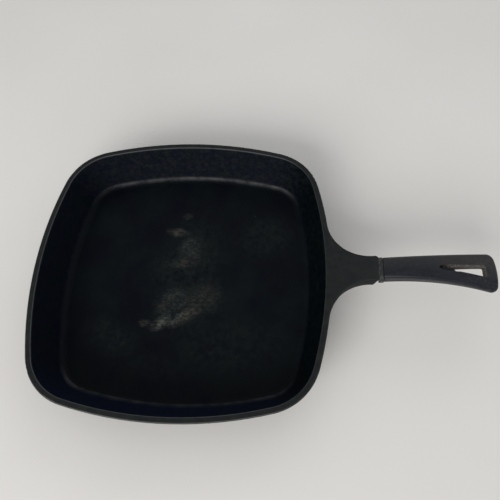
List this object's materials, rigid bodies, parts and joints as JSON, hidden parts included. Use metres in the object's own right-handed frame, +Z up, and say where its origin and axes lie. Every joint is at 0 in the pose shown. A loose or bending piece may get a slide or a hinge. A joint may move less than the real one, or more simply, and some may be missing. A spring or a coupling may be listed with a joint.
{
  "type": "square cast iron skillet",
  "caption": "Deep skillet with bowed square sides, cast in one piece with a flared web and neck, and a screwed-on moulded grip with a hanging slot.",
  "frame": {"origin": "centre of the ground foot, on the surface that the skillet stands on", "axes": "+X along the handle, +Z up out of the pan, +Y to the left seen from the pan towards the grip"},
  "size_m": [0.3893, 0.2548, 0.0522],
  "materials": {
    "cast_iron": "seasoned, satin to matte, with worn grey residue on the cooking floor",
    "collar_steel": "blackened steel, satin",
    "moulded_grip": "black phenolic moulding, satin, with a parting line",
    "screw_steel": "zinc-plated steel, dulled"
  },
  "bodies": {
    "root": {"pan_casting": "cast_iron", "ferrule": "collar_steel", "grip": "moulded_grip", "handle_screw": "screw_steel", "lock_washer": "screw_steel"}
  },
  "joints": []
}
